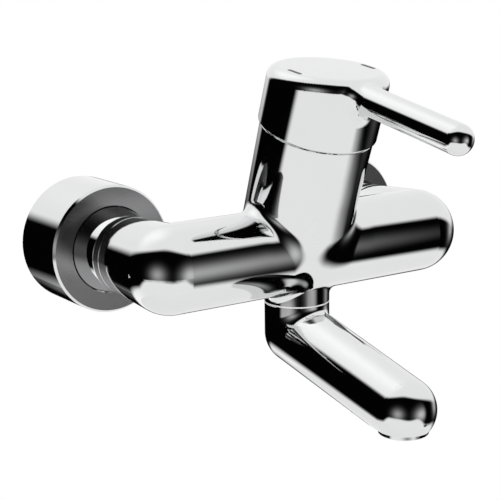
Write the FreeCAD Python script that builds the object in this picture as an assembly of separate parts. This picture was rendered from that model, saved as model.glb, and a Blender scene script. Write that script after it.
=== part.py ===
import FreeCAD, Part
import math
import os

# Wall-mounted basin mixer with one lever, a leaning cartridge housing and a swivel spout.
# Millimetres. X runs along the wall to the right, -Y points away from the wall, +Z is up.
# The origin is on the wall plane, midway between the two inlets, level with the bar's axis.

V = FreeCAD.Vector
AXIS_X = V(1, 0, 0)
AXIS_Y = V(0, 1, 0)
AXIS_Z = V(0, 0, 1)
SIDES = {"left": -1, "right": 1}

# Clearances
face_gap = 0.02            # between lapped or seated flat faces
fit_gap = 0.05             # radial, round pieces that turn or slip in each other
loose_gap = 0.3            # between neighbours that only pass each other
end_float = 0.1            # lengthwise, for turning parts
thread_gap = 0.1           # radial, between a plain male and female thread
land_gap = 0.2             # between a nut and the shoulder it is tightened towards
cut_run = 1.0              # cutting tools run this far past the face they open
merge_reach = 0.0001       # surfaces nearer than this are joined as one

# Bar and wall distances
inlet_centres = 150.0
bar_depth = 91.0           # wall to the bar's axis
bar_radius = 21.6
arm_step = 2.2             # the arm is this much thinner than the bar where it meets the nut
arm_land = 5.5             # straight band behind the arm's taper
arm_groove = 0.3           # turned line between band and taper

# Cover pots on the wall
pot_radius = 32.5
pot_depth = 35.5
pot_wall = 1.5
pot_chamfer = 1.1
pot_collar_wall = 3.4      # inner collar that holds the grip ring
pot_collar_length = 8.0
grip_ring_section = 1.1    # radius of the rubber ring's section

# Union nuts
nut_radius = 21.8
nut_step = 0.2             # and the nut's nose this much thinner than the arm
nut_reach = 15.5           # how far the nut stands out of the pot
nut_hidden = 7.0           # how far it reaches into the pot
nut_tail_wall = 3.0
nut_gap = 0.4              # between the nut and the hole in the pot
nut_lip = 3.2
nut_edge = 0.35

# Inlet connectors
wall_thread_radius = 10.48 # half-inch pipe thread
wall_thread_length = 16.0  # reach into the wall
wall_thread_chamfer = 1.0
body_thread_radius = 13.2  # three-quarter-inch pipe thread
body_thread_length = 10.0
connector_throw = 7.5      # the wall thread sits this much lower than the nut
connector_hex = 27.0       # across flats
connector_hex_length = 8.0
connector_stub = 1.5       # wall plane to the hexagon
connector_shoulder = 1.0   # step from the hexagon's flats to the slanting neck
connector_overlap = 0.5    # the slanting way runs this far into both bores
connector_tube_radius = 10.3
connector_bore = 7.0
connector_throat = 6.0     # slanting way between the two bores
connector_collar = 3.0
connector_collar_gap = 0.8 # radial, between the collar and the nut's thread
washer_thickness = 2.0
washer_mesh = 0.4
washer_gap = 0.6           # radial, between the washer and the nut's thread
mesh_hole_radius = 0.9
mesh_hole_ring = 4.2       # radius of the circle the holes lie on
mesh_hole_count = 6
silencer_length = 12.0
silencer_wall = 1.2
silencer_fins = 3

# Cartridge housing, measured along its own leaning axis from the level of the bar
lean_angle = 19.4
lean_offset = 6.3          # the leaning axis passes this far behind the bar's axis
housing_radius = 27.8      # under the handle
housing_taper = 0.7        # degrees, narrower towards the bar
housing_dome_height = 9.0  # where the rounded underside begins
housing_fillet = 6.0
housing_edge = 0.5
seam_rise = 8.0            # top of the cartridge to the lower edge of the handle
seam_gap = 0.6             # between the housing's top and the handle

# Outlet neck and spout
neck_radius = 16.35
neck_offset = 1.6          # the neck's axis is this far behind the bar's axis
neck_length = 26.3         # bar axis to the neck's lower face
neck_fillet = 4.0
slip_ring_thickness = 0.65
spout_elbow_land = 0.45    # straight part of the spout above its round corner
spout_end_radius = 15.4
spout_reach = 172.3        # wall to the centre of the spout's round end
spout_fall = 18.3          # corner of the spout to the centre of its round end
spout_flat_drop = 9.2      # that centre to the flat the aerator sits in
spout_bore = 9.4           # at the elbow
spout_end_bore = 7.6
spout_swivel = 70.0        # each way
spout_edge = 0.3

# Spout spigot in the neck
spigot_radius = 10.0
spigot_wall = 3.0
spigot_hold = 10.95        # how deep the spigot sits in the spout
outlet_bore_depth = 16.9   # bore in the neck for the spigot
spigot_play = 0.6          # between the spigot's end and the bore's
oring_steps = (2.8, 6.0)   # from the spigot's upper end
oring_section = 0.9
locating_rise = 5.7        # neck's lower face to the locating screw
locating_screw_radius = 2.4
locating_tip_radius = 1.5
locating_tip_length = 1.2
locating_groove_depth = 1.2
locating_groove_width = 3.8
locating_groove_play = 1.0 # degrees past each end of the swivel
locating_proud = 0.4       # how far the screw stands out of the neck
hex_key = 2.5              # across flats, both grub screws

# Aerator
aerator_radius = 11.7
aerator_rim = 2.0          # how much shows below the spout
aerator_thread_radius = 10.9
aerator_thread_length = 7.6
aerator_wall = 1.4
aerator_lip = 0.6
aerator_rib = 0.8
aerator_rings = (3.0, 6.0)
aerator_recess = 0.7
aerator_grille = 1.2       # depth of the rings and ribs at the mouth
aerator_seal_thickness = 1.4
aerator_seal_width = 2.6

# Cartridge, heights along the leaning axis
chamber_floor = 24.0
chamber_radius = 21.5
cartridge_gap = 0.2        # radial, between the cartridge and its chamber
nut_bore_radius = 23.5
nut_bore_depth = 8.6
base_height = 5.0
base_rim = 3.2
disc_radius = 17.5
disc_thickness = 4.0
moving_disc_radius = 12.6
moving_recess = 2.2
carrier_radius = 13.0
carrier_plate = 4.0
carrier_block_x = 12.0
carrier_block_y = 16.0
carrier_rim = 1.4          # centre of the ball to the carrier's top
ball_radius = 3.5
ball_gap = 0.2
pivot_rise = 1.4           # top of the cartridge to the lever's pivot
lever_arm = 12.0           # pivot to ball
flow_limit = 24.0          # degrees of lift
temperature_limit = 50.0   # degrees each way
inlet_port_x = 7.2
inlet_port_y = -6.0
inlet_port_radius = 3.0
outlet_port_y = 5.5
outlet_port_radius = 4.0
mixing_radius = 5.8        # hollow below the moving disc
mixing_tail_radius = 4.5   # its end over the outlet port
mixing_tail_y = 6.0
seal_section = 1.3
cartridge_wall = 2.1
cartridge_height = 34.0
cartridge_cap = 3.0
housing_oring_section = 1.0
housing_oring_rise = 0.3   # above the middle of the base
rotor_radius = 14.95
rotor_rise = 5.1           # the lever's pivot to the rotor's top
rotor_play = 0.5           # between the rotor and the carrier
rotor_jaw = 3.2
rotor_jaw_length = 17.6
rotor_jaw_height = 6.0
rotor_tab = 9.0            # half width in degrees
rotor_tab_reach = 2.4
slot_x = 11.2
slot_front = 8.7
slot_back = 8.0
pin_radius = 2.0
pin_inset = 1.0            # the pin's ends lie this far inside the rotor's neck
barrel_radius = 6.0
arm_rod_radius = 2.5
spindle_square = 9.0
spindle_depth = 9.3        # middle of the handle's top to the end of the square
limit_ring_height = 2.4
limit_lug_height = 2.4
limit_lug = 7.0            # degrees
limit_play = 1.0           # degrees, between lug and tab past each end
retaining_hex = 36.0
retaining_hex_height = 2.8
retaining_sink = 0.5       # housing's top down to the nut's shoulder
retaining_bore = 18.6
cover_rise = 4.7           # housing's top to the rim of the dome
cover_opening = 17.5
cover_shell = 1.0
cover_bulge = 1.0

# Handle
handle_overhang = 1.2      # how far the handle stands out past the housing
handle_skirt = 0.9
handle_skirt_height = 6.6
handle_wall = 2.7
handle_roof = 4.5
handle_height = 30.4       # lower edge to the slanted top, along the axis
handle_top_angle = 8.4     # fall of the top towards the front, from level
handle_top_round = 5.6
handle_foot_round = 0.8
boss_radius = 9.0
boss_rise = 11.6           # handle's lower edge to the boss
rib_width = 10.0
rib_rise = 12.4
set_screw_rise = 16.2
set_screw_radius = 2.45
set_screw_length = 8.0
set_screw_tip = 1.7
set_screw_tip_length = 1.0
plug_radius = 3.3
plug_depth = 3.0
lever_radius = 7.0
lever_angle = 11.04        # fall of the lever, from level
lever_rise = 23.57         # handle's lower edge to the lever's line, at the cartridge's axis
lever_length = 91.53       # from there to the centre of the lever's round end
lever_root = 14.0          # the bar starts this far in front of the cartridge's axis
lever_blend = 9.0          # radius of the hollow rounding where the lever leaves the cap
mark_length = 7.6
mark_width = 1.1
mark_depth = 0.6
mark_offset = 21.6         # from the middle of the top
mark_shift = -1.4          # towards the front

# Water ways in the casting
waterway_radius = 11.2
waterway_stop = 14.0       # they end this far from the middle
inlet_bore = 9.0           # through the threaded tails
inlet_bore_length = 15.0
port_foot_x = 19.0         # where the slanting ways meet the bar's hollow
port_foot_rise = 3.0
port_foot_run = 2.0        # how far the outlet way runs into the neck's bore

# Derived
half_centres = inlet_centres / 2
arm_nose_radius = bar_radius - arm_step
nut_nose_radius = arm_nose_radius - nut_step
neck_depth = bar_depth - neck_offset
cartridge_top = chamber_floor + cartridge_height
pivot_height = cartridge_top + pivot_rise
rotor_top = pivot_height + rotor_rise
seam_height = cartridge_top + seam_rise
housing_top = seam_height - seam_gap
cover_top = housing_top + cover_rise
handle_radius = housing_radius + handle_overhang
handle_top = seam_height + handle_height
spindle_top = handle_top - spindle_depth
boss_bottom = seam_height + boss_rise
rib_bottom = seam_height + rib_rise
set_screw_height = seam_height + set_screw_rise
spout_top = -(neck_length + slip_ring_thickness + 2 * fit_gap)
spout_elbow_height = -neck_length - neck_radius - spout_elbow_land
spout_end_height = spout_elbow_height - spout_fall
aerator_height = spout_end_height - spout_flat_drop
outlet_bore_top = outlet_bore_depth - neck_length
spigot_bore = spigot_radius - spigot_wall
spigot_top = outlet_bore_top - spigot_play
spigot_bottom = spout_top - spigot_hold
oring_heights = [spigot_top - step for step in oring_steps]
locating_height = locating_rise - neck_length
nut_nose = pot_depth + nut_reach
nut_tail = pot_depth - nut_hidden
land_back = nut_nose + land_gap
thread_end = land_back - body_thread_length
collar_front = thread_end - washer_thickness
collar_back = collar_front - connector_collar
disc_floor = chamber_floor + face_gap + base_height
moving_floor = disc_floor + disc_thickness + face_gap
carrier_floor = moving_floor + disc_thickness + face_gap
ball_height = pivot_height - lever_arm
carrier_top = ball_height + carrier_rim
rotor_floor = carrier_top + rotor_play
base_groove = chamber_floor + base_height / 2 + housing_oring_rise
cartridge_radius = chamber_radius - cartridge_gap
top_tilt = lean_angle - handle_top_angle


def turned(*outline):
    """Solid of revolution about Z. Entries are (r, z) corners; (r1, z1, r2, z2) is an arc by r1, z1."""
    start = V(outline[0][0], 0, outline[0][1])
    here = start
    edges = []
    for step in outline[1:]:
        there = V(step[-2], 0, step[-1])
        if len(step) == 4:
            edges.append(Part.Arc(here, V(step[0], 0, step[1]), there).toShape())
        else:
            edges.append(Part.makeLine(here, there))
        here = there
    edges.append(Part.makeLine(here, start))
    return Part.Face(Part.Wire(edges)).revolve(V(), AXIS_Z, 360)


def rod(radius, start, end):
    return Part.makeCylinder(radius, (end - start).Length, start, end - start)


def ring(outer, inner, bottom, top):
    return turned((inner, bottom), (outer, bottom), (outer, top), (inner, top))


def block(size_x, size_y, bottom, top):
    return Part.makeBox(size_x, size_y, top - bottom, V(-size_x / 2, -size_y / 2, bottom))


def circle(radius, x, y, z):
    return Part.Wire(Part.makeCircle(radius, V(x, y, z)))


def hexagon(across, bottom, top, centre=V()):
    corner = across / math.sqrt(3)
    turns = [math.radians(60 * i) for i in range(7)]
    points = [V(corner * math.cos(turn), corner * math.sin(turn), bottom) + centre for turn in turns]
    return Part.Face(Part.makePolygon(points)).extrude(V(0, 0, top - bottom))


def sector(outer, inner, bottom, top, middle, half):
    """Part of a ring about Z, from middle - half to middle + half degrees."""
    piece = Part.Face(Part.makePolygon([V(inner, 0, bottom), V(outer, 0, bottom), V(outer, 0, top),
                                        V(inner, 0, top), V(inner, 0, bottom)]))
    piece.rotate(V(), AXIS_Z, middle - half)
    return piece.revolve(V(), AXIS_Z, 2 * half)


def torus(ring_radius, section, height):
    return Part.makeTorus(ring_radius, section, V(0, 0, height))


def moved(shape, offset):
    copy = shape.copy()
    copy.translate(offset)
    return copy


def turned_to(shape, axis, degrees, offset):
    copy = shape.copy()
    copy.rotate(V(), axis, degrees)
    copy.translate(offset)
    return copy


def from_wall(shape, side):
    """Z becomes the way out of the wall, at one inlet."""
    return turned_to(shape, AXIS_X, 90, V(SIDES[side] * half_centres, 0, 0))


def leaning(shape):
    """Z becomes the cartridge's axis, Y points to the back of it."""
    return turned_to(shape, AXIS_X, lean_angle, V(0, lean_offset - bar_depth, 0))


def hanging(shape):
    """Z becomes the neck's upright axis."""
    return moved(shape, V(0, -neck_depth, 0))


def tangent_corner(radius, start, centre, ball):
    """Where a straight taper from (radius, start) touches a ball on the axis at centre."""
    reach = math.hypot(radius, centre - start)
    turn = math.atan2(radius, abs(centre - start)) - math.asin(ball / reach)
    run = math.sqrt(reach ** 2 - ball ** 2)
    way = 1 if centre > start else -1
    return radius - run * math.sin(turn), start + way * run * math.cos(turn)


def finger(radius, start, centre, ball):
    """Tapered round bar on Z that ends in a ball, with no corner between them."""
    touch_r, touch_z = tangent_corner(radius, start, centre, ball)
    angle = (math.asin((touch_z - centre) / ball) + math.pi / 2) / 2
    return turned((0, start), (radius, start), (touch_r, touch_z),
                  (ball * math.cos(angle), centre + ball * math.sin(angle), 0, centre + ball))


def near_line(point, origin, direction):
    return (point - origin).cross(direction).Length / direction.Length


def shared_edges(shape, *tests):
    """Edges whose sampled points pass every test."""
    found = []
    for edge in shape.Edges:
        first, last = edge.ParameterRange
        samples = [edge.valueAt(first + (last - first) * t) for t in (0.13, 0.37, 0.61, 0.87)]
        if all(test(p) for test in tests for p in samples):
            found.append(edge)
    return found


def nut_radius_at(distance):
    """Outside of the union nut at a distance from the wall."""
    if distance <= pot_depth:
        return nut_radius
    share = (distance - pot_depth) / (nut_nose - pot_depth)
    return nut_radius + (nut_nose_radius - nut_radius) * share


def housing_radius_at(height):
    return housing_radius - (seam_height - height) * math.tan(math.radians(housing_taper))


# Wall side

def cover_pot():
    hole = nut_radius + nut_gap
    collar = hole + pot_collar_wall
    front_back = pot_depth - pot_wall
    collar_back_end = front_back - pot_collar_length
    groove_middle = (collar_back_end + front_back) / 2
    groove_radius = nut_radius + 2 * grip_ring_section + fit_gap
    shell = turned((pot_radius - pot_wall, 0), (pot_radius, 0), (pot_radius, pot_depth - pot_chamfer),
                   (pot_radius - pot_chamfer, pot_depth), (hole, pot_depth), (hole, collar_back_end),
                   (collar, collar_back_end), (collar, front_back), (pot_radius - pot_wall, front_back))
    groove = ring(groove_radius, hole - cut_run, groove_middle - grip_ring_section,
                  groove_middle + grip_ring_section)
    return shell.cut(groove)


def grip_ring():
    middle = pot_depth - pot_wall - pot_collar_length / 2
    return torus(nut_radius + grip_ring_section, grip_ring_section - face_gap, middle)


def union_nut():
    lip_front = collar_back - loose_gap
    lip_back = lip_front - nut_lip
    bore = body_thread_radius + thread_gap
    tail_bore = nut_radius - nut_tail_wall
    throat = connector_tube_radius + loose_gap
    return turned((throat, lip_back), (tail_bore, lip_back), (tail_bore, nut_tail), (nut_radius, nut_tail),
                  (nut_radius, pot_depth), (nut_radius_at(nut_nose - nut_edge), nut_nose - nut_edge),
                  (nut_nose_radius - nut_edge, nut_nose), (bore, nut_nose), (bore, lip_front),
                  (throat, lip_front))


def connector():
    low = V(0, -connector_throw, 0)
    relief = wall_thread_radius - wall_thread_chamfer
    thread = moved(turned((0, -wall_thread_length), (relief, -wall_thread_length),
                          (wall_thread_radius, wall_thread_chamfer - wall_thread_length),
                          (wall_thread_radius, 0), (relief, 0), (relief, connector_stub),
                          (0, connector_stub)), low)
    hex_top = connector_stub + connector_hex_length
    neck_top = hex_top + connector_throw
    shank = hexagon(connector_hex, connector_stub, hex_top, low)
    neck = Part.makeLoft([circle(connector_hex / 2 - connector_shoulder, 0, -connector_throw, hex_top),
                          circle(connector_tube_radius, 0, 0, neck_top)], True, True)
    tube = Part.makeCylinder(connector_tube_radius, collar_front - neck_top, V(0, 0, neck_top))
    collar = ring(body_thread_radius - connector_collar_gap, connector_bore, collar_back, collar_front)
    solid = thread.fuse([shank, neck, tube, collar])
    low_bore = rod(connector_bore, low - AXIS_Z * wall_thread_length, low + AXIS_Z * hex_top)
    throat = Part.makeLoft([circle(connector_throat, 0, -connector_throw, hex_top - connector_overlap),
                            circle(connector_throat, 0, 0, neck_top + connector_overlap)], True, True)
    high_bore = Part.makeCylinder(connector_bore, collar_front - neck_top, V(0, 0, neck_top))
    return solid.cut(low_bore).cut(high_bore).cut(throat).removeSplitter()


def filter_washer():
    back = collar_front + face_gap
    washer = ring(body_thread_radius - washer_gap, connector_bore, back, thread_end - face_gap)
    mesh = Part.makeCylinder(connector_bore, washer_mesh, V(0, 0, back))
    hole = Part.makeCylinder(mesh_hole_radius, washer_mesh, V(mesh_hole_ring, 0, back))
    holes = [hole.copy() for _ in range(mesh_hole_count)]
    for i, copy in enumerate(holes):
        copy.rotate(V(), AXIS_Z, 360 * i / mesh_hole_count)
    return washer.fuse(mesh.cut(holes)).removeSplitter()


def silencer():
    outer = connector_bore - fit_gap
    back = collar_front - silencer_length
    tube = ring(outer, outer - silencer_wall, back, collar_front)
    fins = []
    for i in range(silencer_fins):
        fin = Part.makeBox(outer - silencer_wall / 2, silencer_wall, silencer_length,
                           V(0, -silencer_wall / 2, back))
        fin.rotate(V(), AXIS_Z, 360 * i / silencer_fins)
        fins.append(fin)
    return tube.fuse(fins).removeSplitter()


# Casting

def arm_form():
    """One arm and its round elbow, turned about the way out of the wall."""
    land_front = land_back + arm_land
    touch_r, touch_z = tangent_corner(arm_nose_radius, land_front + arm_groove, bar_depth, bar_radius)
    return turned((0, thread_end), (body_thread_radius, thread_end), (body_thread_radius, land_back),
                  (arm_nose_radius - nut_edge, land_back), (arm_nose_radius, land_back + nut_edge),
                  (arm_nose_radius, land_front - arm_groove), (arm_nose_radius - arm_groove, land_front),
                  (arm_nose_radius, land_front + arm_groove), (touch_r, touch_z),
                  (bar_radius, bar_depth, 0, bar_depth + bar_radius))


def bar_form():
    """Bar with round ends, about Z."""
    slant = bar_radius * math.sqrt(0.5)
    tip = half_centres + bar_radius
    return turned((0, -tip), (slant, -half_centres - slant, bar_radius, -half_centres),
                  (bar_radius, half_centres), (slant, half_centres + slant, 0, tip))


def housing_form():
    """The leaning housing with a round underside, about its own axis."""
    taper = math.radians(housing_taper)
    low_radius = housing_radius_at(housing_dome_height)
    ball = low_radius / math.cos(taper)
    centre = housing_dome_height + low_radius * math.tan(taper)
    turn = math.radians(45)
    top_radius = housing_radius_at(housing_top)
    return turned((0, centre - ball), (ball * math.sin(turn), centre - ball * math.cos(turn),
                                       low_radius, housing_dome_height),
                  (top_radius, housing_top - housing_edge), (top_radius - housing_edge, housing_top),
                  (0, housing_top))


def outer_casting():
    bar_axis = V(0, -bar_depth, 0)
    bar = turned_to(bar_form(), AXIS_Y, 90, bar_axis)
    left_arm = from_wall(turned_to(arm_form(), AXIS_Z, 180, V()), "left")
    right_arm = from_wall(arm_form(), "right")
    housing = leaning(housing_form())
    neck = hanging(Part.makeCylinder(neck_radius, neck_length, V(0, 0, -neck_length)))
    solid = bar.fuse([left_arm, right_arm, neck], merge_reach).removeSplitter()

    def on_bar(point):
        return abs(near_line(point, bar_axis, AXIS_X) - bar_radius) < 0.02

    def on_neck(point):
        return abs(near_line(point, V(0, -neck_depth, 0), AXIS_Z) - neck_radius) < 0.02

    def central(point):
        return abs(point.x) < handle_radius

    def upper(point):
        return not on_neck(point)

    solid = solid.makeFillet(neck_fillet, shared_edges(solid, on_bar, on_neck))
    solid = solid.fuse(housing, merge_reach).removeSplitter()
    return solid.makeFillet(housing_fillet, shared_edges(solid, on_bar, central, upper))


def port_tool(x, y, radius, foot):
    """A slanting water way from the chamber's floor to a point in the casting."""
    mouth = leaning(Part.Vertex(x, y, chamber_floor + cut_run)).Point
    return rod(radius, mouth, foot)


def inlet_ways(sign):
    """Hollow arm, elbow and half bar of one inlet, and its slanting way up to the chamber."""
    corner = V(sign * half_centres, -bar_depth, 0)
    bore_end = V(corner.x, -thread_end - inlet_bore_length, 0)
    foot = V(sign * port_foot_x, -bar_depth, port_foot_rise)
    return [rod(waterway_radius, V(sign * waterway_stop, -bar_depth, 0), corner),
            Part.makeSphere(waterway_radius, corner),
            rod(waterway_radius, bore_end, corner),
            rod(inlet_bore, V(corner.x, -thread_end, 0), bore_end),
            port_tool(sign * inlet_port_x, inlet_port_y, inlet_port_radius, foot)]


def chamber_ways():
    """Chamber for the cartridge with the wider bore for its nut."""
    return [leaning(Part.makeCylinder(chamber_radius, housing_top, V(0, 0, chamber_floor))),
            leaning(Part.makeCylinder(nut_bore_radius, nut_bore_depth + cut_run,
                                      V(0, 0, housing_top - nut_bore_depth)))]


def outlet_ways():
    """Way from the chamber down to the neck's bore, and the hole for the locating screw."""
    screw_way = V(0, spigot_radius - cut_run - neck_depth, locating_height)
    foot = V(0, -neck_depth, outlet_bore_top - port_foot_run)
    return [port_tool(0, outlet_port_y, outlet_port_radius, foot),
            hanging(Part.makeCylinder(spigot_radius + fit_gap, outlet_bore_depth + cut_run,
                                      V(0, 0, -neck_length - cut_run))),
            rod(locating_screw_radius + fit_gap, screw_way, screw_way + V(0, 2 * neck_radius, 0))]


def mixer_body():
    solid = outer_casting()
    for tool in inlet_ways(-1) + inlet_ways(1) + chamber_ways() + outlet_ways():
        solid = solid.cut(tool)
    return solid.removeSplitter()


# Outlet

def slip_ring():
    top = -neck_length - fit_gap
    return ring(neck_radius, spigot_radius + fit_gap, top - slip_ring_thickness, top)


def spout_axis():
    """Corner of the spout, centre of its round end and the way between them."""
    corner = V(0, -neck_depth, spout_elbow_height)
    end = V(0, -spout_reach, spout_end_height)
    return corner, end, (end - corner).normalize()


def along_spout(shape):
    corner, end, way = spout_axis()
    copy = shape.copy()
    copy.Placement = FreeCAD.Placement(corner, FreeCAD.Rotation(AXIS_Z, way)).multiply(copy.Placement)
    return copy


def spout():
    corner, end, way = spout_axis()
    length = (end - corner).Length
    upright = hanging(turned((0, spout_elbow_height), (neck_radius, spout_elbow_height),
                             (neck_radius, spout_top - spout_edge), (neck_radius - spout_edge, spout_top),
                             (0, spout_top)))
    elbow = Part.makeSphere(neck_radius, corner)
    tube = along_spout(finger(neck_radius, 0, length, spout_end_radius))
    below = Part.makeCylinder(length, length, V(0, -spout_reach, aerator_height - length))
    outside = upright.fuse([elbow, tube]).removeSplitter().cut(below)
    tools = [hanging(Part.makeCylinder(spigot_radius + fit_gap, spout_top - spigot_bottom + cut_run,
                                       V(0, 0, spigot_bottom - face_gap))),
             Part.makeSphere(spout_bore, corner),
             along_spout(Part.makeCone(spout_bore, spout_end_bore, length)),
             Part.makeSphere(spout_end_bore, end),
             Part.makeCylinder(aerator_thread_radius + thread_gap, aerator_thread_length,
                               V(0, -spout_reach, aerator_height))]
    solid = outside
    for tool in tools:
        solid = solid.cut(tool)
    return solid.removeSplitter()


def spout_spigot():
    solid = ring(spigot_radius, spigot_bore, spigot_bottom, spigot_top)
    for height in oring_heights:
        solid = solid.cut(ring(spigot_radius + cut_run, spigot_radius - 2 * oring_section,
                               height - oring_section, height + oring_section))
    groove_floor = spigot_radius - locating_groove_depth
    tip_share = math.degrees(math.asin(locating_tip_radius / groove_floor))
    half_turn = spout_swivel + tip_share + locating_groove_play
    groove = sector(spigot_radius + cut_run, groove_floor, locating_height - locating_groove_width / 2,
                    locating_height + locating_groove_width / 2, 90, half_turn)
    return hanging(solid.cut(groove))


def spigot_orings():
    middle = spigot_radius - oring_section + face_gap
    return hanging(Part.makeCompound([torus(middle, oring_section - face_gap, h) for h in oring_heights]))


def grub_screw(radius, length, tip_radius, tip_length):
    """Screw on Z with its tip at zero and a hexagon socket in the back."""
    solid = turned((0, 0), (tip_radius, 0), (tip_radius, tip_length), (radius, tip_length),
                   (radius, length), (0, length))
    return solid.cut(hexagon(hex_key, length / 2, length + cut_run))


def locating_screw():
    tip = spigot_radius - locating_groove_depth + loose_gap
    length = neck_radius - tip + locating_proud
    screw = grub_screw(locating_screw_radius, length, locating_tip_radius, locating_tip_length + loose_gap)
    return turned_to(screw, AXIS_X, -90, V(0, tip - neck_depth, locating_height))


def aerator_place(shape):
    return moved(shape, V(0, -spout_reach, aerator_height))


def aerator_housing():
    inner = aerator_thread_radius - aerator_wall
    lip = inner - aerator_lip
    top = aerator_thread_length - aerator_seal_thickness
    lip_top = aerator_lip - aerator_rim
    return aerator_place(turned((lip, -aerator_rim), (aerator_radius - nut_edge, -aerator_rim),
                                (aerator_radius, nut_edge - aerator_rim), (aerator_radius, -face_gap),
                                (aerator_thread_radius, -face_gap), (aerator_thread_radius, top),
                                (inner, top), (inner, lip_top), (lip, lip_top)))


def aerator_insert():
    """Jet former: rings and ribs at the mouth under a slotted sleeve."""
    outer = aerator_thread_radius - aerator_wall - fit_gap
    floor = aerator_recess - aerator_rim + aerator_lip
    top = aerator_thread_length - aerator_seal_thickness - face_gap
    solid = ring(outer, outer - aerator_rib, floor, top)
    grille_top = floor + aerator_grille
    for radius in aerator_rings:
        solid = solid.fuse(ring(radius + aerator_rib / 2, radius - aerator_rib / 2, floor, grille_top))
    ribs = []
    for i in range(4):
        rib = block(2 * outer - aerator_rib, aerator_rib, floor, grille_top)
        rib.rotate(V(), AXIS_Z, 45 * i)
        ribs.append(rib)
    return aerator_place(solid.fuse(ribs).removeSplitter())


def aerator_seal():
    outer = aerator_thread_radius - fit_gap
    bottom = aerator_thread_length - aerator_seal_thickness + face_gap
    return aerator_place(ring(outer, outer - aerator_seal_width, bottom, aerator_thread_length - face_gap))


# Cartridge

def port_places():
    return [(inlet_port_x, inlet_port_y, inlet_port_radius),
            (-inlet_port_x, inlet_port_y, inlet_port_radius),
            (0, outlet_port_y, outlet_port_radius)]


def port_cutters(bottom, top, extra=0.0):
    return [Part.makeCylinder(r + extra, top - bottom, V(x, y, bottom)) for x, y, r in port_places()]


def cartridge_base():
    outer = cartridge_radius
    bottom = chamber_floor + face_gap
    solid = Part.makeCylinder(outer, base_height - face_gap, V(0, 0, bottom))
    solid = solid.fuse(ring(outer - cartridge_wall - fit_gap, disc_radius + fit_gap, disc_floor - face_gap,
                            disc_floor + base_rim))
    solid = solid.cut(ring(outer + cut_run, chamber_radius - 2 * housing_oring_section - fit_gap,
                           base_groove - housing_oring_section, base_groove + housing_oring_section))
    tools = port_cutters(bottom - cut_run, disc_floor + cut_run)
    seats = port_cutters(bottom - cut_run, bottom + seal_section, seal_section)
    return leaning(solid.cut(tools + seats).removeSplitter())


def base_seals():
    seals = []
    for x, y, r in port_places():
        seal = ring(r + seal_section - fit_gap, r + fit_gap, 0, seal_section - face_gap)
        seals.append(moved(seal, V(x, y, chamber_floor + face_gap)))
    return leaning(Part.makeCompound(seals))


def housing_oring():
    section = housing_oring_section - face_gap
    return leaning(torus(chamber_radius - housing_oring_section - face_gap, section, base_groove))


def fixed_disc():
    solid = Part.makeCylinder(disc_radius, disc_thickness, V(0, 0, disc_floor))
    return leaning(solid.cut(port_cutters(disc_floor - cut_run, disc_floor + disc_thickness + cut_run)))


def moving_disc():
    """The disc has a shallow hollow below, in which hot and cold water meet."""
    solid = Part.makeCylinder(moving_disc_radius, disc_thickness, V(0, 0, moving_floor))
    hollow = Part.makeCylinder(mixing_radius, moving_recess, V(0, 0, moving_floor))
    tail = Part.makeCylinder(mixing_tail_radius, moving_recess, V(0, mixing_tail_y, moving_floor))
    return leaning(solid.cut(hollow.fuse(tail)).removeSplitter())


def disc_carrier():
    plate = Part.makeCylinder(carrier_radius, carrier_plate, V(0, 0, carrier_floor))
    guide = block(carrier_block_x, carrier_block_y, carrier_floor, carrier_top)
    pocket_floor = ball_height - ball_radius - ball_gap
    pocket = rod(ball_radius + ball_gap, V(0, 0, pocket_floor), V(0, 0, carrier_top + cut_run))
    return leaning(plate.fuse(guide).cut(pocket).removeSplitter())


def cartridge_housing():
    outer = cartridge_radius
    bottom = disc_floor
    cap_floor = cartridge_top - cartridge_cap
    neck = rotor_radius + fit_gap
    return leaning(turned((outer, bottom), (outer, cartridge_top), (neck, cartridge_top), (neck, cap_floor),
                          (outer - cartridge_wall, cap_floor), (outer - cartridge_wall, bottom)))


def guide_rotor():
    flange_radius = cartridge_radius - cartridge_wall - loose_gap
    flange_top = cartridge_top - cartridge_cap - end_float
    flange = Part.makeCylinder(flange_radius, flange_top - rotor_floor, V(0, 0, rotor_floor))
    neck = Part.makeCylinder(rotor_radius, rotor_top - rotor_floor, V(0, 0, rotor_floor))
    guide_width = carrier_block_x + 4 * fit_gap
    jaw_foot = rotor_floor - rotor_jaw_height
    jaws = block(guide_width + 2 * rotor_jaw, rotor_jaw_length, jaw_foot, rotor_floor)
    guide = block(guide_width, rotor_jaw_length + cut_run, jaw_foot - cut_run, rotor_floor)
    tab_floor = cartridge_top + limit_ring_height + end_float
    tab_top = tab_floor + limit_lug_height
    tab = sector(rotor_radius + rotor_tab_reach, rotor_radius - cut_run, tab_floor, tab_top, 90, rotor_tab)
    solid = neck.fuse([flange, tab, jaws.cut(guide)])
    slot = Part.makeBox(slot_x, slot_front + slot_back, rotor_top - rotor_floor + 2 * cut_run,
                        V(-slot_x / 2, -slot_front, rotor_floor - cut_run))
    pin_hole = cross_rod(pin_radius + face_gap, rotor_radius + cut_run)
    return leaning(solid.cut([slot, pin_hole]).removeSplitter())


def cross_rod(radius, reach):
    """Rod on the lever's pivot axis, as far to the left as to the right."""
    return rod(radius, V(-reach, 0, pivot_height), V(reach, 0, pivot_height))


def pivot_pin():
    return leaning(cross_rod(pin_radius, rotor_radius - pin_inset))


def lever_spindle():
    half_barrel = slot_x / 2 - 2 * fit_gap
    barrel = cross_rod(barrel_radius, half_barrel)
    square = block(spindle_square, spindle_square, pivot_height, spindle_top)
    stem = Part.makeCylinder(arm_rod_radius, lever_arm, V(0, 0, ball_height))
    ball = Part.makeSphere(ball_radius, V(0, 0, ball_height))
    solid = barrel.fuse([square, stem, ball])
    return leaning(solid.cut(cross_rod(pin_radius + fit_gap, half_barrel + cut_run)).removeSplitter())


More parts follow.
